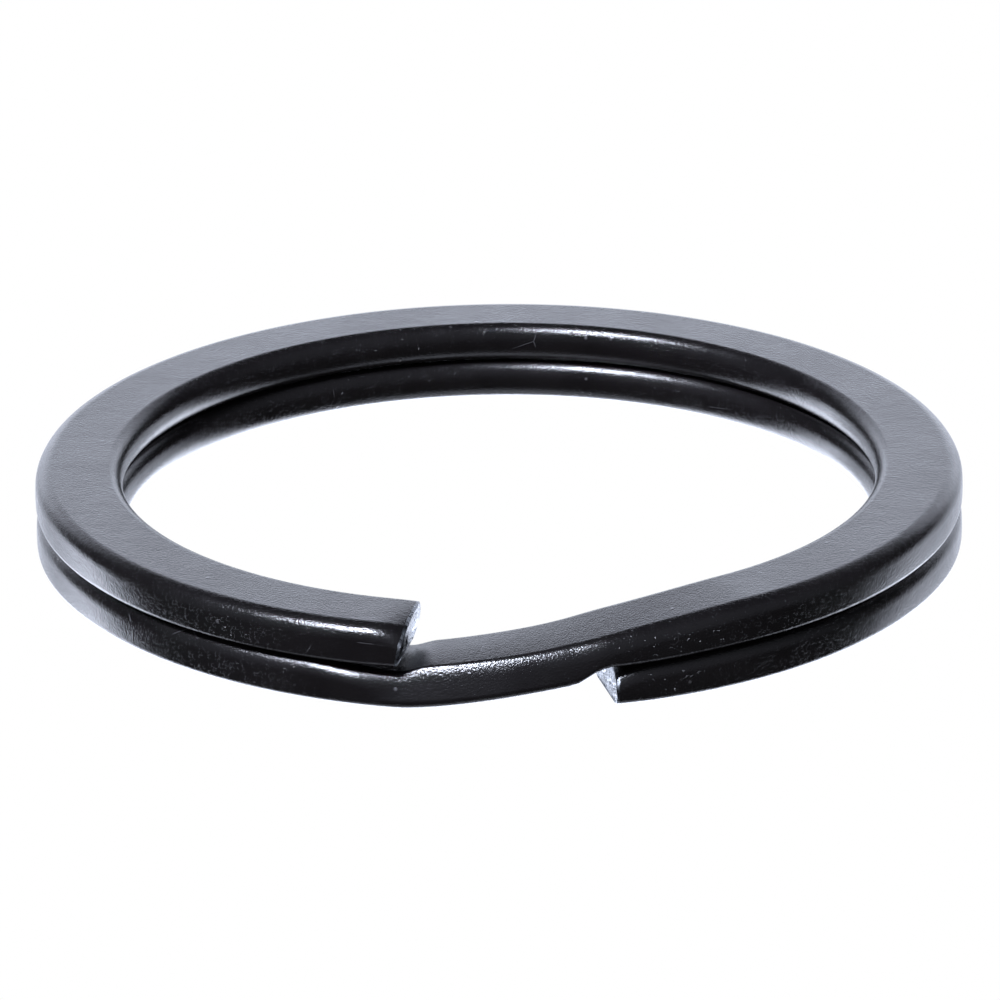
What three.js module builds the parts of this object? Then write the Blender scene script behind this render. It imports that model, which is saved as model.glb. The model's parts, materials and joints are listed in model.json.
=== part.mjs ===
// A split key ring: one length of flat spring-steel wire, wound into two turns that lie on each other.
// At the front a cranked step carries the wire from the lower turn up to the upper one, and the two
// cut tips lie on either side of it, one in each turn.
//
// The wire springs open when a tip is prised away, mostly by twisting along its length. It is modelled
// in stretches, and in the springing part of each turn every stretch turns a little on the one before.
//
// Millimetres, +Z up. The origin is on the ring's axis, in the plane that the lower turn rests on.
// Angles are in degrees, counter-clockwise seen from above, and -90 is the front. The wire climbs
// counter-clockwise, so a place along it is an angle that runs on past 360, from tip to tip.

import * as THREE from 'three';

// Driving dimensions.
const OUTER_RADIUS = 16;
const INNER_RADIUS = 13;
const WIRE_THICKNESS = 1.39;
const TURN_GAP = 0.04; // free height between the turns
const EDGE_RADIUS = 0.24; // bottom edge of the wire's outer side
const SHOULDER_RADIUS = 0.6; // its top edge is a broad round shoulder
const NOSE_DEPTH = 0.5; // the wire's inner side is a half round this deep

// Places along the wire.
const LOWER_TIP = -76.5;
const STEP_START = 257;
const STEP_END = 303;
const UPPER_TIP = 618.7;

// The step's height follows a Bezier curve that leaves and arrives level.
const STEP_LEAVES = 262.5; // control point above the lower turn
const STEP_ARRIVES = 286; // control point under the upper turn

// The step's underside is pressed flatter where it rides over the lower tip.
const SEAT_START = 278.5;
const SEAT_FULL = 283;
const SEAT_END = 300;
const SEAT_RISE = 0.925; // share of the step's height already climbed at SEAT_FULL

// How the wire is divided.
const FLEX_SPACING = 40; // angle between the places where a turn springs, counted from its tip
const FLEX_COUNT = 5;
const STRETCH_GAP = 0.03; // free length between one stretch and the next

// Fineness of the facets.
const STATION_STEP = 5;
const EDGE_FACETS = 3;
const SHOULDER_FACETS = 5;
const NOSE_FACETS = 8;
const BISECTIONS = 40;

const DEGREE = Math.PI / 180;
const TURN_PITCH = WIRE_THICKNESS + TURN_GAP;
const GAP_ANGLE = STRETCH_GAP / ((OUTER_RADIUS + INNER_RADIUS) / 2) / DEGREE;

const blackFinish = () => new THREE.MeshStandardMaterial({ color: 0x1b1b20, roughness: 0.38, metalness: 0.35 });

// The step's climb: x is the place along the wire, y the share of the height between the turns.
const STEP_CURVE = new THREE.CubicBezierCurve(
  new THREE.Vector2(STEP_START, 0),
  new THREE.Vector2(STEP_LEAVES, 0),
  new THREE.Vector2(STEP_ARRIVES, 1),
  new THREE.Vector2(STEP_END, 1),
);

// Share of the climb done at a place on the step, found by halving the curve's parameter.
function climbAt(place) {
  let low = 0;
  let high = 1;
  for (let i = 0; i < BISECTIONS; i += 1) {
    const middle = (low + high) / 2;
    if (STEP_CURVE.getPoint(middle).x < place) low = middle;
    else high = middle;
  }
  return STEP_CURVE.getPoint(low).y;
}

// The underside leaves the climb at the seat, rises quickly to SEAT_RISE, and then eases up to 1.
function undersideClimbAt(place) {
  const eased = THREE.MathUtils.smoothstep(place, SEAT_FULL, SEAT_END);
  const seat = THREE.MathUtils.lerp(SEAT_RISE, 1, eased);
  const share = THREE.MathUtils.smoothstep(place, SEAT_START, SEAT_FULL);
  return THREE.MathUtils.lerp(climbAt(place), seat, share);
}

// Height of the wire's bottom and top faces at a place along it.
function facesAt(place) {
  if (place >= STEP_END) {
    return { bottom: TURN_PITCH, top: TURN_PITCH + WIRE_THICKNESS };
  }
  if (place > STEP_START) {
    return { bottom: TURN_PITCH * undersideClimbAt(place), top: WIRE_THICKNESS + TURN_PITCH * climbAt(place) };
  }
  const above = place + 360;
  if (above < STEP_END) {
    // The lower tip is pressed thinner under the seat, and keeps its gap to it.
    return { bottom: 0, top: TURN_PITCH * undersideClimbAt(above) - TURN_GAP };
  }
  return { bottom: 0, top: WIRE_THICKNESS };
}

// The wire's outline in a plane through the ring's axis: x is the radius and y the height.
// It runs counter-clockwise: outer bottom edge, outer shoulder, then down round the inner nose.
function wireOutline({ bottom, top }) {
  const quarter = Math.PI / 2;
  const roundEdge = (radius, height, from, to) =>
    new THREE.EllipseCurve(OUTER_RADIUS - radius, height, radius, radius, from, to);
  const arcs = [
    [roundEdge(EDGE_RADIUS, bottom + EDGE_RADIUS, -quarter, 0), EDGE_FACETS],
    [roundEdge(SHOULDER_RADIUS, top - SHOULDER_RADIUS, 0, quarter), SHOULDER_FACETS],
    [
      new THREE.EllipseCurve(
        INNER_RADIUS + NOSE_DEPTH,
        (bottom + top) / 2,
        NOSE_DEPTH,
        (top - bottom) / 2,
        quarter,
        3 * quarter,
      ),
      NOSE_FACETS,
    ],
  ];
  return arcs.flatMap(([curve, facets]) => curve.getPoints(facets));
}

// The solid between two places: an outline at each station, faces between them and a cap at each end.
function wireSolid(from, to) {
  const steps = Math.ceil((to - from) / STATION_STEP);
  const positions = [];
  const triangles = [];
  let sides = 0;
  for (let station = 0; station <= steps; station += 1) {
    const place = THREE.MathUtils.lerp(from, to, station / steps);
    const outline = wireOutline(facesAt(place));
    sides = outline.length;
    for (const point of outline) {
      positions.push(point.x * Math.cos(place * DEGREE), point.x * Math.sin(place * DEGREE), point.y);
    }
  }
  for (let station = 0; station < steps; station += 1) {
    for (let side = 0; side < sides; side += 1) {
      const near = station * sides + side;
      const nearNext = station * sides + ((side + 1) % sides);
      triangles.push(near, near + sides, nearNext);
      triangles.push(nearNext, near + sides, nearNext + sides);
    }
  }
  const last = steps * sides;
  for (let side = 1; side < sides - 1; side += 1) {
    triangles.push(0, side, side + 1);
    triangles.push(last, last + side + 1, last + side);
  }
  const solid = new THREE.BufferGeometry();
  solid.setAttribute('position', new THREE.Float32BufferAttribute(positions, 3));
  solid.setIndex(triangles);
  solid.computeVertexNormals();
  return solid;
}

const ring = new THREE.Group();

function addStretch(name, from, to) {
  const start = from === LOWER_TIP ? from : from + GAP_ANGLE / 2;
  const end = to === UPPER_TIP ? to : to - GAP_ANGLE / 2;
  const mesh = new THREE.Mesh(wireSolid(start, end), blackFinish());
  mesh.name = name;
  ring.add(mesh);
}

// Named stretches of equal length, one after another along the wire.
function addStretches(names, from, to) {
  const length = (to - from) / names.length;
  names.forEach((name, i) => addStretch(name, from + i * length, from + (i + 1) * length));
}

// Each turn springs over its last FLEX_COUNT stretches, and its other stretches stay with the step.
const lowerRoot = LOWER_TIP + FLEX_SPACING * FLEX_COUNT;
const upperRoot = UPPER_TIP - FLEX_SPACING * FLEX_COUNT;

function addLowerTurn() {
  addStretches(
    ['lower_tip', 'lower_turn_front_right', 'lower_turn_right', 'lower_turn_back_right', 'lower_turn_back_left'],
    LOWER_TIP,
    lowerRoot,
  );
  addStretches(['lower_turn_left_back', 'lower_turn_left_front', 'lower_turn_front_left'], lowerRoot, STEP_START);
}

function addUpperTurn() {
  addStretches(['upper_turn_front_right', 'upper_turn_right', 'upper_turn_back_right'], STEP_END, upperRoot);
  addStretches(
    ['upper_turn_back', 'upper_turn_back_left', 'upper_turn_left', 'upper_turn_front_left', 'upper_tip'],
    upperRoot,
    UPPER_TIP,
  );
}

addLowerTurn();
addStretch('crank_step', STEP_START, STEP_END);
addUpperTurn();

export default ring;
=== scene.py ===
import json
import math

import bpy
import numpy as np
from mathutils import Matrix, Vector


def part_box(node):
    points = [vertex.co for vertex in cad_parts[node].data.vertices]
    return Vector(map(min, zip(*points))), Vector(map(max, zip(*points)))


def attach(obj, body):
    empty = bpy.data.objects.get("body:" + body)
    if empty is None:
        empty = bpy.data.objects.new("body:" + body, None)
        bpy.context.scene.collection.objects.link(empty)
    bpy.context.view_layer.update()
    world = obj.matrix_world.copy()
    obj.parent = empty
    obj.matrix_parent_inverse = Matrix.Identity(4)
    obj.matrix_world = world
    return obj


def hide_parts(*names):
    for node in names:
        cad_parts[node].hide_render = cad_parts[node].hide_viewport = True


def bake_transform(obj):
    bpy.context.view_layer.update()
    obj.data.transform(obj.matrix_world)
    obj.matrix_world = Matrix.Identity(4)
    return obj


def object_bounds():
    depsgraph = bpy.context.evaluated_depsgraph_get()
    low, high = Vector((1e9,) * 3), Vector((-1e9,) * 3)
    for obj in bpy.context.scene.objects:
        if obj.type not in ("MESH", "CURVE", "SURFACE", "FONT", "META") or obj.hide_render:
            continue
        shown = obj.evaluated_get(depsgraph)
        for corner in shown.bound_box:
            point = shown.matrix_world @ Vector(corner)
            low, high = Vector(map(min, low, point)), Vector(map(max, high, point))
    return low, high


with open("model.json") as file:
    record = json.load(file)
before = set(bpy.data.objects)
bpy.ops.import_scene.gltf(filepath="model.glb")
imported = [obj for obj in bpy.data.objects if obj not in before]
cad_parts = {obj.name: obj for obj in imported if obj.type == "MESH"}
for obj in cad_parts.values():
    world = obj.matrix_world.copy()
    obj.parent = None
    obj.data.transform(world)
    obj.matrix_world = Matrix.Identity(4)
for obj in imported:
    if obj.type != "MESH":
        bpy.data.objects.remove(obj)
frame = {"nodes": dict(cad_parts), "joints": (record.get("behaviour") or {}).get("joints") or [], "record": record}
cad_low, cad_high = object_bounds()

# A split key ring of flat spring-steel wire, painted black, with two bare sheared tips.
#
# The wire is one smooth sweep round the ring's axis. A place along it is an angle in degrees,
# counter-clockwise from +X, that runs on past 360 from the lower tip to the upper one. The sweep is
# cut into pieces in the middle of each stretch of the CAD frame, so that every hinge is inside a
# piece.

MM = 0.001

# Read from the frame.


def node_vertices(node):
    mesh = frame["nodes"][node].data
    flat = np.zeros(len(mesh.vertices) * 3)
    mesh.vertices.foreach_get("co", flat)
    return flat.reshape(-1, 3)


def node_angles(node):
    points = node_vertices(node)
    return np.degrees(np.arctan2(points[:, 1], points[:, 0]))


def node_distances(node):
    points = node_vertices(node)
    return np.hypot(points[:, 0], points[:, 1])


OUTER_RADIUS = node_distances("upper_turn_right").max()
INNER_RADIUS = node_distances("upper_turn_right").min()
WIRE_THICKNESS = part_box("lower_turn_left_back")[1].z
UPPER_TURN_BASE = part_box("upper_turn_right")[0].z
TURN_GAP = UPPER_TURN_BASE - WIRE_THICKNESS
LOWER_TIP = node_angles("lower_tip").min()
STEP_START = node_angles("crank_step").min() + 360
STEP_END = node_angles("crank_step").max() + 360
UPPER_TIP = node_angles("upper_tip").max() + 720
RING_CENTRE = (cad_low + cad_high) / 2
FLEX_SPACING = 40.0  # degrees between the frame's hinges, counted from each tip

# The wire's cross-section. Elevations are those of the outward normal.
EDGE_RADIUS = 0.24 * MM  # bottom edge of the outer side
NOSE_DEPTH = 0.5 * MM  # the inner side is a half round
SIDE_FOOT = math.radians(-2.5)  # the outer side is slightly barrelled
SIDE_HEAD = math.radians(5)
SIDE_SMOOTH_SHARE = 0.97  # over the rest of its length the side turns into the shoulder
SHOULDER_FOOT = math.radians(9)
SHOULDER_RADIUS = 0.6 * MM
BROW = math.radians(41)  # the shoulder's lower and upper arcs meet here

# The same where the step is bent: the outer side leans in and the top falls away outwards.
BENT_SIDE_FOOT = math.radians(26)
BENT_SIDE_HEAD = math.radians(29)
BENT_SHOULDER_FOOT = math.radians(29.5)
BENT_LOWER_ARC = 1.7 * MM
BENT_UPPER_ARC = 0.2 * MM
BENT_TOP_FALL = math.radians(6)
BEND_START = 252.0
BEND_FULL = 259.0
BEND_FADES = 260.0
BEND_GONE = 296.0

# The step's top also sags a little half way up.
DROOP_DEPTH = 0.05 * MM
DROOP_START = 264.0
DROOP_FULL = 276.0
DROOP_END = 286.0

# The step's height follows a Bezier curve that leaves and arrives level.
STEP_LEAVES = 265.0
STEP_ARRIVES = 286.0
SEAT_START = 278.5  # its underside is pressed flatter where it rides over the lower tip
SEAT_FULL = 283.0
SEAT_END = 300.0
SEAT_RISE = 0.925  # share of the step's height already climbed at SEAT_FULL
BISECTIONS = 30

# The lower turn's top is pressed down under the upper tip, and rises again into the step.
PRESS_START = 246.0
PRESS_FULL = 255.0
PRESS_RISE = 259.2  # middle of the rise
PRESS_RISE_LENGTH = 4.6
PRESS_DEPTH = 0.18 * MM

# Fineness of the sweep, in degrees along it and in points round it.
STATION_STEP = 1.0
FEWEST_STATIONS = 3
FINE_STEP = 0.12  # near the tips, and where the pressed place rises
FINE_LENGTH = 2.4
SLOPE_STEP = 0.02  # over this the outline's change along the wire is measured
PLAIN_PLACE = 100.0  # the wire is plain here
EDGE_POINTS = 8
SIDE_POINTS = 6
ARC_POINTS = 9
TOP_POINTS = 8
NOSE_POINTS = 18
BOTTOM_POINTS = 5

# The sheared tips.
ROLL_LENGTH = 1.4 * MM  # the shear has drawn the wire's edges in over this length
ROLL_CURVE = 0.9  # with 1 the curve would end upright
ROLL_TOP_DEPTH = 0.06 * MM
ROLL_SIDE_DEPTH = 0.08 * MM
ROLL_LOWER_ARC = 0.3 * MM  # added to the shoulder's two arcs at the cut
ROLL_UPPER_ARC = 0.6 * MM
ROLL_FALL = math.radians(14)
BARE_LENGTH = 0.05 * MM  # the paint stops about this far short of the cut
RAGGED_LENGTH = 0.05 * MM
RAGGED_WAVES = (3, 5, 8, 13)  # waves round the outline
RAGGED_SHIFT = 0.37
UPPER_CUT_LEAN = 0.26 * MM  # how far the upper cut lies back at the bottom
LOWER_CUT_LEAN = 0.1 * MM  # and the lower cut at the top
LEAN_CURVE = 1.6
LOWER_CUT_SEED = 11
UPPER_CUT_SEED = 29

# Rings of points on a cut. Insets are shares of the way from its rim to its middle.
RIM_SETBACK = 0.001  # degrees short of the tip at which the rim's outline is taken
CUT_RINGS = 26
CUT_EDGE_INSETS = (0.008, 0.018, 0.03, 0.045)
CUT_EDGE_END = 0.06
LAST_INSET = 0.985
CUT_EDGE_ROUND = 0.035 * MM
RELIEF_FULL = 0.1
SLOPE_LENGTH = 0.002 * MM  # over this the cut's own slope is measured

# The cut's relief: fine slanting marks, and below a wandering line a rough break.
MARK_DEPTH = 0.003 * MM
MARK_COUNT = 14
MARK_SIZES = (0.03 * MM, 0.4 * MM)
MARK_SLANT = 0.08 * MM
LINE_HEIGHT = 0.42  # share of the wire's height
LINE_WANDER = 0.07
LINE_COUNT = 4
LINE_SIZES = (0.5 * MM, 2 * MM)
LINE_BLUR = 0.05
BREAK_DEPTH = 0.05 * MM
BREAK_ROUGHNESS = 0.007 * MM
BREAK_COUNT = 9
BREAK_SIZES = (0.06 * MM, 0.5 * MM)
BREAK_SLANT = 0.5 * MM
BREAK_SKEW = 0.3


def smooth(value, low, high):
    share = np.clip((value - low) / (high - low), 0, 1)
    return share * share * (3 - 2 * share)


def mix(a, b, share):
    return a + (b - a) * share


def climb(place):
    """Share of the height between the turns that the step has climbed."""
    low = np.zeros_like(place)
    high = np.ones_like(place)
    for _ in range(BISECTIONS):
        t = (low + high) / 2
        u = 1 - t
        x = (
            u**3 * STEP_START
            + 3 * u * u * t * STEP_LEAVES
            + 3 * u * t * t * STEP_ARRIVES
            + t**3 * STEP_END
        )
        low = np.where(x < place, t, low)
        high = np.where(x < place, high, t)
    return low * low * (3 - 2 * low)


def underside_climb(place):
    seat = mix(SEAT_RISE, 1, smooth(place, SEAT_FULL, SEAT_END))
    return mix(climb(place), seat, smooth(place, SEAT_START, SEAT_FULL))


def wire_faces(place):
    """Heights of the wire's bottom and top faces."""
    bottom = UPPER_TURN_BASE * underside_climb(place)
    top = WIRE_THICKNESS + UPPER_TURN_BASE * climb(place)
    risen = smooth(place, PRESS_RISE - PRESS_RISE_LENGTH / 2, PRESS_RISE + PRESS_RISE_LENGTH / 2)
    top = top - PRESS_DEPTH * smooth(place, PRESS_START, PRESS_FULL) * (1 - risen)
    level = smooth(place, DROOP_FULL, DROOP_END)
    top = top - DROOP_DEPTH * smooth(place, DROOP_START, DROOP_FULL) * (1 - level)
    under_step = UPPER_TURN_BASE * underside_climb(place + 360) - TURN_GAP
    return bottom, np.where(place + 360 < STEP_END, under_step, top)


def degrees_along(length):
    return math.degrees(length / OUTER_RADIUS)


def roll_over(place):
    """How far the shear has drawn the edges in: 0 along the wire, 1 at a cut."""
    nearest = np.minimum(place - LOWER_TIP, UPPER_TIP - place)
    inside = np.clip(1 - nearest / degrees_along(ROLL_LENGTH), 0, 1)
    return 1 - np.sqrt(1 - inside**2 * ROLL_CURVE)


def wire_outline(place):
    """Distance from the axis, height and outward normal of each point of the outline, as arrays.

    place has one row for each station and one column for each point of the outline, or a single
    column. The outline starts at the bottom edge of the outer side and runs up the side, over the
    shoulder and the top, round the nose, and back along the bottom.
    """
    bottom, top = wire_faces(place)
    roll = roll_over(place)
    top = top - ROLL_TOP_DEPTH * roll
    bent = smooth(place, BEND_START, BEND_FULL) * (1 - smooth(place, BEND_FADES, BEND_GONE))
    outer = OUTER_RADIUS - ROLL_SIDE_DEPTH * roll
    foot = mix(SIDE_FOOT, BENT_SIDE_FOOT, bent)
    head = mix(SIDE_HEAD, BENT_SIDE_HEAD, bent)
    shoulder = mix(SHOULDER_FOOT, BENT_SHOULDER_FOOT, bent)
    lower_arc = mix(SHOULDER_RADIUS, BENT_LOWER_ARC, bent) + ROLL_LOWER_ARC * roll
    upper_arc = mix(SHOULDER_RADIUS, BENT_UPPER_ARC, bent) + ROLL_UPPER_ARC * roll
    fall = BENT_TOP_FALL * bent + ROLL_FALL * roll
    nose = INNER_RADIUS + NOSE_DEPTH
    columns = []

    def add(r, z, nr, nz):
        size = np.sqrt(nr * nr + nz * nz)
        columns.append(np.broadcast_arrays(r, z, nr / size, nz / size))

    def add_arc(r, z, radius, start, end, count):
        """An arc from the point (r, z), where its normal's elevation is start, to elevation end."""
        for share in np.linspace(0, 1, count):
            angle = mix(start, end, share)
            at_r = r + radius * (np.cos(angle) - np.cos(start))
            at_z = z + radius * (np.sin(angle) - np.sin(start))
            add(at_r, at_z, np.cos(angle), np.sin(angle))
        return at_r, at_z

    down = -math.pi / 2 + 0 * place
    r, z = add_arc(outer - EDGE_RADIUS, bottom, EDGE_RADIUS, down, foot, EDGE_POINTS)

    # The side is as long as it takes for the shoulder and the top to end level with the nose.
    lean = (foot + head) / 2
    slope = np.tan(fall) / 2
    lower_rise = lower_arc * (math.sin(BROW) - np.sin(shoulder))
    upper_rise = upper_arc * (np.cos(fall) - math.sin(BROW))
    lower_shift = lower_arc * (math.cos(BROW) - np.cos(shoulder))
    upper_shift = upper_arc * (np.sin(fall) - math.cos(BROW))
    rise = top - z - lower_rise - upper_rise
    reach = r - nose + lower_shift + upper_shift
    side = (rise - slope * reach) / (np.cos(lean) - slope * np.sin(lean))
    for share in np.linspace(0, SIDE_SMOOTH_SHARE, SIDE_POINTS + 1)[1:]:
        bulge = side * (head - foot) / 2 * share * (1 - share)
        angle = mix(foot, head, share)
        at_r = r - side * share * np.sin(lean) + bulge * np.cos(lean)
        at_z = z + side * share * np.cos(lean) + bulge * np.sin(lean)
        add(at_r, at_z, np.cos(angle), np.sin(angle))
    r = r - side * np.sin(lean)
    z = z + side * np.cos(lean)

    brow = BROW + 0 * place
    r, z = add_arc(r, z, lower_arc, shoulder, brow, ARC_POINTS)
    columns.pop()
    r, z = add_arc(r, z, upper_arc, brow, math.pi / 2 - fall, ARC_POINTS)
    width = r - nose
    for share in np.linspace(1, 0, TOP_POINTS + 1)[1:-1]:
        add(nose + width * share, top - slope * width * share**2, np.tan(fall) * share, 1.0)

    middle = (bottom + top) / 2
    half = (top - bottom) / 2
    for angle in np.linspace(math.pi / 2, 3 * math.pi / 2, NOSE_POINTS):
        add(
            nose + NOSE_DEPTH * math.cos(angle),
            middle + half * math.sin(angle),
            math.cos(angle) / NOSE_DEPTH,
            math.sin(angle) / half,
        )
    for share in np.linspace(0, 1, BOTTOM_POINTS + 2)[1:-1]:
        add(mix(nose, outer - EDGE_RADIUS, share), bottom, 0.0, -1.0)
    return columns


def wire_surface(places):
    """Points and outward normals, as arrays of (station, point of the outline, xyz)."""

    def outline_values(shift):
        """The four values of the outline, as arrays of (station, point), at places moved by shift."""
        columns = [
            [np.broadcast_to(value, places.shape)[:, k] for value in point]
            for k, point in enumerate(wire_outline(places + shift))
        ]
        return np.transpose(columns, (1, 2, 0))

    r, z, nr, nz = outline_values(0)
    r_after, z_after, _, _ = outline_values(SLOPE_STEP)
    r_before, z_before, _, _ = outline_values(-SLOPE_STEP)
    r_slope = (r_after - r_before) / math.radians(2 * SLOPE_STEP)
    z_slope = (z_after - z_before) / math.radians(2 * SLOPE_STEP)
    along = -(nr * r_slope + nz * z_slope) / r
    turn = np.radians(places)
    c = np.cos(turn)
    s = np.sin(turn)
    points = np.stack([r * c, r * s, z], -1)
    normals = np.stack([nr * c - along * s, nr * s + along * c, nz], -1)
    normals /= np.linalg.norm(normals, axis=-1, keepdims=True)
    return points, normals


OUTLINE_POINTS = len(wire_outline(np.array([[PLAIN_PLACE]])))


def closed_mesh(name, points, normals, material):
    """A closed solid from rings of points, with a fan over each end."""
    stations, count, _ = points.shape
    vertices = np.concatenate([points.reshape(-1, 3), [points[0].mean(0), points[-1].mean(0)]])
    first_hub = stations * count
    faces = []
    loop_normals = []
    for i in range(stations - 1):
        for k in range(count):
            n = (k + 1) % count
            faces.append((i * count + k, (i + 1) * count + k, (i + 1) * count + n, i * count + n))
            loop_normals += [normals[i, k], normals[i + 1, k], normals[i + 1, n], normals[i, n]]
    for hub, ring, flip in ((first_hub, 0, False), (first_hub + 1, stations - 1, True)):
        for k in range(count):
            a = ring * count + k
            b = ring * count + (k + 1) % count
            face = (hub, b, a) if flip else (hub, a, b)
            corners = [Vector(vertices[v]) for v in face]
            normal = (corners[1] - corners[0]).cross(corners[2] - corners[0])
            faces.append(face)
            loop_normals += [normal.normalized()] * 3
    mesh = bpy.data.meshes.new(name)
    mesh.from_pydata([tuple(v) for v in vertices], [], faces)
    mesh.shade_smooth()
    mesh.normals_split_custom_set([tuple(n) for n in loop_normals])
    mesh.materials.append(material)
    mesh.validate()
    piece = bpy.data.objects.new(name, mesh)
    bpy.context.scene.collection.objects.link(piece)
    return piece


def station_places(start, end):
    """Rows of places from start to end; either may be one number or one for each outline point."""
    start = np.broadcast_to(start, (OUTLINE_POINTS,))
    end = np.broadcast_to(end, (OUTLINE_POINTS,))
    first = start.mean()
    last = end.mean()
    count = max(FEWEST_STATIONS, math.ceil((last - first) / STATION_STEP) + 1)
    rows = [np.linspace(first, last, count)]
    for spot in (LOWER_TIP + FINE_LENGTH / 2, PRESS_RISE, UPPER_TIP - FINE_LENGTH / 2):
        low = max(first, spot - FINE_LENGTH / 2)
        high = min(last, spot + FINE_LENGTH / 2)
        if low < high:
            rows.append(np.linspace(low, high, math.ceil((high - low) / FINE_STEP) + 1))
    rows = np.unique(np.round(np.concatenate(rows), 4))
    share = ((rows - rows[0]) / (rows[-1] - rows[0]))[:, None]
    return start[None, :] + (end - start)[None, :] * share


def wire_piece(name, start, end, material):
    points, normals = wire_surface(station_places(start, end))
    piece = closed_mesh(name, points, normals, material)
    return piece


# The cut faces.


def ripples(across, seed, count, sizes):
    """A smooth uneven wave of height about 1, the same each time for one seed."""
    random = np.random.default_rng(seed)
    shortest, longest = sizes
    total = 0
    for _ in range(count):
        wave = math.exp(random.uniform(math.log(shortest), math.log(longest)))
        total = total + np.sin(2 * math.pi * (across / wave + random.uniform()))
    return total / math.sqrt(count / 2)


def ragged_bare(seed):
    """Bare length at each outline point: the paint's edge is chipped unevenly."""
    turn = np.arange(OUTLINE_POINTS) / OUTLINE_POINTS
    waves = [np.sin(2 * math.pi * (turn * n + seed * RAGGED_SHIFT * n)) for n in RAGGED_WAVES]
    return BARE_LENGTH + RAGGED_LENGTH / 2 * (1 + sum(waves) / len(waves))


def cut_lean(height, toward):
    """How far the cut lies behind its foremost line, at a share of the wire's height."""
    height = np.clip(height, 0, 1)
    if toward > 0:
        return UPPER_CUT_LEAN * (1 - height) ** LEAN_CURVE
    return LOWER_CUT_LEAN * height**LEAN_CURVE


def cut_relief(r, height, seed):
    """Height of the cut's own relief: fine marks above, and a rough hollow break below."""
    marks = MARK_DEPTH * ripples(r + height * MARK_SLANT, seed, MARK_COUNT, MARK_SIZES)
    line = LINE_HEIGHT + LINE_WANDER * ripples(r, seed + 1, LINE_COUNT, LINE_SIZES)
    broken = smooth(height, line + LINE_BLUR, line - LINE_BLUR)
    rough = ripples(r + height * BREAK_SLANT, seed + 2, BREAK_COUNT, BREAK_SIZES)
    skewed = height * WIRE_THICKNESS - r * BREAK_SKEW
    rough = rough + ripples(skewed, seed + 3, BREAK_COUNT, BREAK_SIZES)
    return mix(marks, BREAK_ROUGHNESS * rough - BREAK_DEPTH, broken)


def cut_face(name, tip, toward, seed):
    """Bare steel: a short length of wire whose end is the sheared face itself.

    toward is 1 where the cut faces on along the wire, and -1 where it faces back. The second thing
    returned is the place where the paint ends, for each point of the outline.
    """
    outline = wire_outline(np.array([[tip - toward * RIM_SETBACK]]))
    rim_r = np.array([np.ravel(column[0])[0] for column in outline])
    rim_z = np.array([np.ravel(column[1])[0] for column in outline])
    centre_r = (rim_r.min() + rim_r.max()) / 2
    centre_z = (rim_z.min() + rim_z.max()) / 2
    low = rim_z.min()
    tall = rim_z.max() - low

    def ring_points(inset):
        r = mix(rim_r, centre_r, inset)
        z = mix(rim_z, centre_z, inset)
        height = (z - low) / tall
        rounded = CUT_EDGE_ROUND * np.clip(1 - inset / CUT_EDGE_END, 0, 1) ** 2
        relief = cut_relief(r, height, seed) * smooth(inset, 0, RELIEF_FULL)
        behind = cut_lean(height, toward) + rounded
        place = math.radians(tip) - toward * (behind - relief) / OUTER_RADIUS
        return np.stack([r * np.cos(place), r * np.sin(place), z], -1)

    back = cut_lean((rim_z - low) / tall, toward) + CUT_EDGE_ROUND
    start = tip - toward * np.degrees((back + ragged_bare(seed)) / OUTER_RADIUS)
    end = tip - toward * np.degrees(back / OUTER_RADIUS)
    points, normals = wire_surface(mix(start, end, np.linspace(0, 1, FEWEST_STATIONS)[:, None]))
    shift = SLOPE_LENGTH / (rim_r.max() - rim_r.min())
    facing = np.array([-math.sin(math.radians(tip)), math.cos(math.radians(tip)), 0]) * toward
    for inset in (*CUT_EDGE_INSETS, *np.linspace(CUT_EDGE_END, LAST_INSET, CUT_RINGS)):
        ring = ring_points(inset)
        around = np.roll(ring, -1, 0) - np.roll(ring, 1, 0)
        normal = np.cross(around, ring_points(inset + shift) - ring_points(inset - shift))
        normal /= np.linalg.norm(normal, axis=-1, keepdims=True)
        normal *= np.sign(normal @ facing)[:, None]
        points = np.concatenate([points, ring[None]])
        normals = np.concatenate([normals, normal[None]])
    if toward < 0:
        points = points[::-1]
        normals = normals[::-1]
    piece = closed_mesh(name, points, normals, STEEL)
    return piece, start


# Materials.


def new_material(name):
    material = bpy.data.materials.new(name)
    material.use_nodes = True
    nodes = material.node_tree.nodes
    return material, nodes, material.node_tree.links, nodes["Principled BSDF"]


def add_noise(nodes, links, place, scale, detail=2.0, distortion=0.0):
    noise = nodes.new("ShaderNodeTexNoise")
    noise.inputs["Scale"].default_value = scale
    noise.inputs["Detail"].default_value = detail
    noise.inputs["Distortion"].default_value = distortion
    links.new(place, noise.inputs["Vector"])
    return noise.outputs["Fac"]


def add_cells(nodes, links, place, scale, feature="F1"):
    cells = nodes.new("ShaderNodeTexVoronoi")
    cells.feature = feature
    cells.inputs["Scale"].default_value = scale
    links.new(place, cells.inputs["Vector"])
    return cells


def add_range(nodes, links, value, low, high, start=0.0, end=1.0):
    """value between low and high, eased into start to end."""
    node = nodes.new("ShaderNodeMapRange")
    node.interpolation_type = "SMOOTHSTEP"
    node.inputs["From Min"].default_value = low
    node.inputs["From Max"].default_value = high
    node.inputs["To Min"].default_value = start
    node.inputs["To Max"].default_value = end
    links.new(value, node.inputs["Value"])
    return node.outputs["Result"]


def add_product(nodes, links, a, b):
    node = nodes.new("ShaderNodeMath")
    node.operation = "MULTIPLY"
    links.new(a, node.inputs[0])
    links.new(b, node.inputs[1])
    return node.outputs[0]


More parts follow.
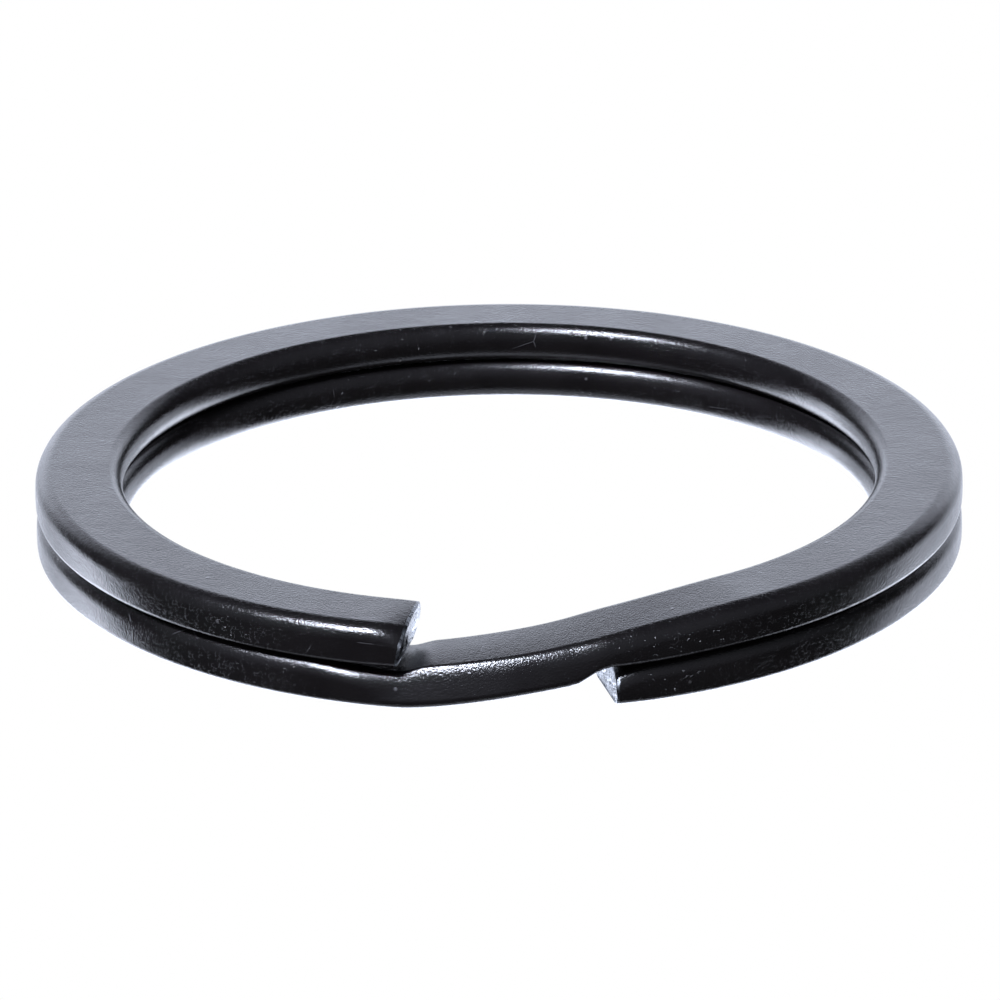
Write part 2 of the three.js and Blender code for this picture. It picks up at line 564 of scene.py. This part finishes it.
def add_mix(nodes, links, share, a, b):
    """Colour between a and b, each of them a colour or another node's output."""
    node = nodes.new("ShaderNodeMix")
    node.data_type = "RGBA"
    links.new(share, node.inputs["Factor"])
    for name, value in (("A", a), ("B", b)):
        socket = [s for s in node.inputs if s.name == name and s.type == "RGBA"][0]
        if isinstance(value, tuple):
            socket.default_value = (*value, 1)
        else:
            links.new(value, socket)
    return [s for s in node.outputs if s.type == "RGBA"][0]


def add_bump(nodes, links, height, distance, strength=1.0, under=None):
    bump = nodes.new("ShaderNodeBump")
    bump.inputs["Strength"].default_value = strength
    bump.inputs["Distance"].default_value = distance
    links.new(height, bump.inputs["Height"])
    if under is not None:
        links.new(under, bump.inputs["Normal"])
    return bump.outputs["Normal"]


# The paint. Scales are features per metre, and depths are those of the relief. A range is where a
# texture's value fades from none of a feature to all of it.
PAINT_IOR = 1.5
PAINT_ROUGHNESS = (0.18, 0.25)
PAINT_DARK = (0.0028, 0.0024, 0.0026)
PAINT_LIGHT = (0.0058, 0.005, 0.0054)
SCRATCH_COLOUR = (0.035, 0.034, 0.037)
DUST_COLOUR = (0.07, 0.07, 0.075)
GRAIN_SCALE = 15000
GRAIN_DEPTH = 0.0125 * MM
FLAKE_SCALE = 8500
FLAKE_DEPTH = 0.009 * MM
FLAKE_RANGE = (0.55, 1.0)
WAVE_SCALE = 1700
WAVE_DEPTH = 0.012 * MM
PATCH_SCALE = 420
PATCH_RANGE = (0.3, 0.7)
SCRATCH_SCALE = 330
SCRATCH_DEPTH = 0.004 * MM
SCRATCH_WIDTH = 0.008
SCRATCH_SPREAD_SCALE = 700
SCRATCH_SPREAD_RANGE = (0.6, 0.68)
DUST_SCALE = 1100
DUST_DEPTH = 0.01 * MM
DUST_SIZES = (0.02, 0.11)
DUST_SPREAD_RANGE = (0.62, 0.7)


def black_paint():
    """Satin black with a fine grain, a slight waviness, dust, hair scratches and uneven wear."""
    material, nodes, links, shader = new_material("black_paint")
    shader.inputs["IOR"].default_value = PAINT_IOR
    place = nodes.new("ShaderNodeTexCoord").outputs["Object"]

    grain = add_noise(nodes, links, place, GRAIN_SCALE)
    waves = add_noise(nodes, links, place, WAVE_SCALE)
    flakes = add_cells(nodes, links, place, FLAKE_SCALE)
    flake = add_range(nodes, links, flakes.outputs["Color"], *FLAKE_RANGE)
    patches = add_noise(nodes, links, place, PATCH_SCALE, 3, 0.6)

    lines = add_cells(nodes, links, place, SCRATCH_SCALE, "DISTANCE_TO_EDGE")
    line = add_range(nodes, links, lines.outputs["Distance"], 0.0, SCRATCH_WIDTH, 1.0, 0.0)
    spread = add_noise(nodes, links, place, SCRATCH_SPREAD_SCALE)
    where = add_range(nodes, links, spread, *SCRATCH_SPREAD_RANGE)
    scratch = add_product(nodes, links, line, where)

    specks = add_cells(nodes, links, place, DUST_SCALE)
    speck = add_range(nodes, links, specks.outputs["Distance"], *DUST_SIZES, 1.0, 0.0)
    some = add_range(nodes, links, specks.outputs["Color"], *DUST_SPREAD_RANGE)
    dust = add_product(nodes, links, speck, some)

    black = add_mix(nodes, links, patches, PAINT_DARK, PAINT_LIGHT)
    scratched = add_mix(nodes, links, scratch, black, SCRATCH_COLOUR)
    dusty = add_mix(nodes, links, dust, scratched, DUST_COLOUR)
    links.new(dusty, shader.inputs["Base Color"])
    roughness = add_range(nodes, links, patches, *PATCH_RANGE, *PAINT_ROUGHNESS)
    links.new(roughness, shader.inputs["Roughness"])

    normal = add_bump(nodes, links, waves, WAVE_DEPTH, 0.5)
    normal = add_bump(nodes, links, flake, FLAKE_DEPTH, 0.8, normal)
    normal = add_bump(nodes, links, grain, GRAIN_DEPTH, 1.0, normal)
    normal = add_bump(nodes, links, scratch, SCRATCH_DEPTH, 0.6, normal)
    normal = add_bump(nodes, links, dust, DUST_DEPTH, 0.8, normal)
    links.new(normal, shader.inputs["Normal"])
    return material


# The steel, in the same units.
STEEL_ROUGHNESS = (0.24, 0.42)
STEEL_DARK = (0.12, 0.125, 0.135)
STEEL_LIGHT = (0.29, 0.31, 0.335)
STREAK_COLOUR = (0.45, 0.47, 0.5)
TORN_COLOUR = (0.05, 0.05, 0.055)
STREAK_SCALE = 9000
STREAK_STRETCH = 0.12
STREAK_DEPTH = 0.01 * MM
STREAK_RANGE = (0.5, 0.68)
BLOTCH_SCALE = 3600
BLOTCH_RANGE = (0.3, 0.7)
SHADE_RANGE = (0.36, 0.62)
PIT_SCALE = 9000
PIT_DEPTH = 0.012 * MM
PIT_SIZES = (0.1, 0.42)
PIT_SPREAD_RANGE = (0.5, 0.75)


def bare_steel():
    """Sheared steel: streaks in the direction of the cut, torn specks, and uneven dullness."""
    material, nodes, links, shader = new_material("bare_steel")
    shader.inputs["Metallic"].default_value = 1.0
    place = nodes.new("ShaderNodeTexCoord").outputs["Object"]

    stretch = nodes.new("ShaderNodeMapping")
    stretch.inputs["Scale"].default_value = (1, 1, STREAK_STRETCH)
    links.new(place, stretch.inputs["Vector"])
    streaks = add_noise(nodes, links, stretch.outputs["Vector"], STREAK_SCALE, 4)
    blotches = add_noise(nodes, links, place, BLOTCH_SCALE, 3, 0.8)
    pits = add_cells(nodes, links, place, PIT_SCALE)
    pit = add_range(nodes, links, pits.outputs["Distance"], *PIT_SIZES, 1.0, 0.0)
    some = add_range(nodes, links, pits.outputs["Color"], *PIT_SPREAD_RANGE)
    torn = add_product(nodes, links, pit, some)

    shade = add_range(nodes, links, blotches, *SHADE_RANGE)
    steel = add_mix(nodes, links, shade, STEEL_DARK, STEEL_LIGHT)
    streak = add_range(nodes, links, streaks, *STREAK_RANGE)
    streaked = add_mix(nodes, links, streak, steel, STREAK_COLOUR)
    pitted = add_mix(nodes, links, torn, streaked, TORN_COLOUR)
    links.new(pitted, shader.inputs["Base Color"])
    roughness = add_range(nodes, links, blotches, *BLOTCH_RANGE, *STEEL_ROUGHNESS)
    links.new(roughness, shader.inputs["Roughness"])

    normal = add_bump(nodes, links, streaks, STREAK_DEPTH, 0.8)
    normal = add_bump(nodes, links, torn, PIT_DEPTH, 0.8, normal)
    links.new(normal, shader.inputs["Normal"])
    return material


PAINT = black_paint()
STEEL = bare_steel()


# The wire's pieces.


def blend_over(piece):
    """Bakes the piece's placement into its mesh; the piece is attached to no body."""
    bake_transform(piece)


def add_wire():
    half = FLEX_SPACING / 2
    lower = [j for j in frame["joints"] if j["name"].startswith("lower")]
    upper = [j for j in frame["joints"] if j["name"].startswith("upper")]

    cut, paint_start = cut_face("lower_cut_face", LOWER_TIP, -1, LOWER_CUT_SEED)
    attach(cut, "lower_tip")
    end = wire_piece("lower_end", paint_start, LOWER_TIP + half, PAINT)
    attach(end, "lower_tip")
    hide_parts("lower_tip")

    for i, joint in enumerate(lower):
        hinge = LOWER_TIP + FLEX_SPACING * (len(lower) - i)
        piece = wire_piece("lower_bend_%d" % (i + 1), hinge - half, hinge + half, PAINT)
        blend_over(piece)
        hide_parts(*frame["record"]["behaviour"]["bodies"][joint["child"]])

    lower_root = LOWER_TIP + FLEX_SPACING * len(lower) + half
    upper_root = UPPER_TIP - FLEX_SPACING * len(upper) - half
    root = wire_piece("step_and_roots", lower_root, upper_root, PAINT)
    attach(root, "ring_root")
    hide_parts(*frame["record"]["behaviour"]["bodies"]["ring_root"])

    for i, joint in enumerate(upper):
        hinge = UPPER_TIP - FLEX_SPACING * (len(upper) - i)
        piece = wire_piece("upper_bend_%d" % (i + 1), hinge - half, hinge + half, PAINT)
        blend_over(piece)
        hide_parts(*frame["record"]["behaviour"]["bodies"][joint["child"]])

    cut, paint_end = cut_face("upper_cut_face", UPPER_TIP, 1, UPPER_CUT_SEED)
    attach(cut, "upper_tip")
    end = wire_piece("upper_end", UPPER_TIP - half, paint_end, PAINT)
    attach(end, "upper_tip")


add_wire()


# Camera.

VIEW_ELEVATION = math.radians(21.348)
VIEW_DISTANCE = 13.3166 * OUTER_RADIUS
VIEW_ROLL = math.radians(-0.6046)
LENS = 221.52  # millimetres, as the sensor's width
SENSOR_WIDTH = 36
NEAR_CLIP = 0.01
FAR_CLIP = 20
AIM_OFFSET = Vector((0.0294, 0, -0.2764)) * MM


def add_camera():
    data = bpy.data.cameras.new("camera")
    data.sensor_width = SENSOR_WIDTH
    data.lens = LENS
    data.clip_start = NEAR_CLIP
    data.clip_end = FAR_CLIP
    camera = bpy.data.objects.new("camera", data)
    bpy.context.scene.collection.objects.link(camera)
    back = Vector((0, -math.cos(VIEW_ELEVATION), math.sin(VIEW_ELEVATION)))
    position = RING_CENTRE + back * VIEW_DISTANCE
    aim = RING_CENTRE + AIM_OFFSET - position
    turn = aim.to_track_quat("-Z", "Y").to_matrix().to_4x4()
    camera.matrix_world = Matrix.Translation(position) @ turn @ Matrix.Rotation(VIEW_ROLL, 4, "Z")
    bpy.context.scene.camera = camera


add_camera()


# Floor, backdrop and lights.

LIGHT_TINT = (0.94, 1.0, 1.17)  # the studio light is a little blue
SOFTBOX_TOWARD = Vector((-0.37, -0.37, 0.82)).normalized()
SOFTBOX_DISTANCE = 0.4
SOFTBOX_WIDTH = 0.13
SOFTBOX_HEIGHT = 0.045
SOFTBOX_ENERGY = 3.6
STAGE_REACH = 3.0  # half the floor's width, and the backdrop's distance
STAGE_GLOW = 1.0
BACKDROP_HEIGHT = 1.8 * STAGE_REACH
BACKDROP_STEPS = 72


def emitter(name, strength):
    material, nodes, links, shader = new_material(name)
    glow = nodes.new("ShaderNodeEmission")
    glow.inputs["Strength"].default_value = strength
    links.new(glow.outputs["Emission"], nodes["Material Output"].inputs["Surface"])
    nodes.remove(shader)
    return material


def stage_mesh(name, vertices, faces, material):
    """Part of the white stage: the camera sees it, and the wire's gloss does not."""
    mesh = bpy.data.meshes.new(name)
    mesh.from_pydata(vertices, [], faces)
    mesh.materials.append(material)
    thing = bpy.data.objects.new(name, mesh)
    bpy.context.scene.collection.objects.link(thing)
    thing.visible_glossy = False
    return thing


def add_floor():
    size = STAGE_REACH
    corners = [(-size, -size, 0), (size, -size, 0), (size, size, 0), (-size, size, 0)]
    stage_mesh("floor", corners, [(0, 1, 2, 3)], emitter("floor", STAGE_GLOW))


def add_backdrop():
    """An upright white wall all round the floor."""
    vertices = []
    faces = []
    for i in range(BACKDROP_STEPS):
        turn = 2 * math.pi * i / BACKDROP_STEPS
        for height in (0, BACKDROP_HEIGHT):
            vertices.append((STAGE_REACH * math.cos(turn), STAGE_REACH * math.sin(turn), height))
        n = (i + 1) % BACKDROP_STEPS
        faces.append((2 * i, 2 * i + 1, 2 * n + 1, 2 * n))
    wall = stage_mesh("backdrop", vertices, faces, emitter("backdrop", STAGE_GLOW))
    wall.visible_diffuse = False
    wall.visible_shadow = False


def add_softbox():
    data = bpy.data.lights.new("softbox", "AREA")
    data.shape = "RECTANGLE"
    data.size = SOFTBOX_WIDTH
    data.size_y = SOFTBOX_HEIGHT
    data.energy = SOFTBOX_ENERGY
    data.color = LIGHT_TINT
    softbox = bpy.data.objects.new("softbox", data)
    bpy.context.scene.collection.objects.link(softbox)
    softbox.location = RING_CENTRE + SOFTBOX_TOWARD * SOFTBOX_DISTANCE
    softbox.rotation_mode = "QUATERNION"
    softbox.rotation_quaternion = SOFTBOX_TOWARD.to_track_quat("Z", "Y")


# Bright parts of the studio that the wire reflects: azimuths and elevations in degrees, and how far
# the edges of each are blurred.
BRIGHT_ZONES = [
    {"azimuth": (50, 130), "elevation": (-2, 29), "strength": 2.0, "blur": (9, 3)},
    {"azimuth": (25, 156), "elevation": (-62, -28), "strength": 5.2, "blur": (8, 5)},
    {"azimuth": (36, 141), "elevation": (-28, -2), "strength": 1.3, "blur": (5, 4)},
    {"azimuth": (141, 158), "elevation": (-34, -4), "strength": 6.0, "blur": (4, 6)},
    {"azimuth": (22, 38), "elevation": (-34, -4), "strength": 2.2, "blur": (5, 6)},
    {"azimuth": (-190, 190), "elevation": (-95, -62), "strength": 1.0, "blur": (1, 6)},
    {"azimuth": (-190, 0), "elevation": (5, 60), "strength": 0.17, "blur": (15, 10)},
]
STUDIO_FILL = 0.03


def add_studio_light():
    world = bpy.data.worlds.new("studio")
    bpy.context.scene.world = world
    world.use_nodes = True
    nodes = world.node_tree.nodes
    links = world.node_tree.links

    def calculate(operation, a, b=None):
        node = nodes.new("ShaderNodeMath")
        node.operation = operation
        for socket, value in zip(node.inputs, (a, b)):
            if isinstance(value, (int, float)):
                socket.default_value = value
            elif value is not None:
                links.new(value, socket)
        return node.outputs[0]

    def edge(value, at, blur, rising):
        start, end = (0, 1) if rising else (1, 0)
        return add_range(nodes, links, value, at - blur, at + blur, start, end)

    direction = nodes.new("ShaderNodeTexCoord").outputs["Generated"]
    parts = nodes.new("ShaderNodeSeparateXYZ")
    links.new(direction, parts.inputs[0])
    turn = calculate("ARCTAN2", parts.outputs["Y"], parts.outputs["X"])
    rise = calculate("ARCSINE", parts.outputs["Z"])
    azimuth = calculate("MULTIPLY", turn, 180 / math.pi)
    elevation = calculate("MULTIPLY", rise, 180 / math.pi)
    total = STUDIO_FILL
    for zone in BRIGHT_ZONES:
        glow = zone["strength"]
        bounds = (zone["azimuth"], zone["elevation"])
        for value, ends, blur in zip((azimuth, elevation), bounds, zone["blur"]):
            for at, rising in zip(ends, (True, False)):
                glow = calculate("MULTIPLY", edge(value, at, blur, rising), glow)
        total = calculate("ADD", glow, total)
    background = nodes["Background"]
    background.inputs["Color"].default_value = (*LIGHT_TINT, 1)
    links.new(total, background.inputs["Strength"])
    bpy.context.scene.view_settings.view_transform = "Standard"


add_floor()
add_backdrop()
add_softbox()
add_studio_light()
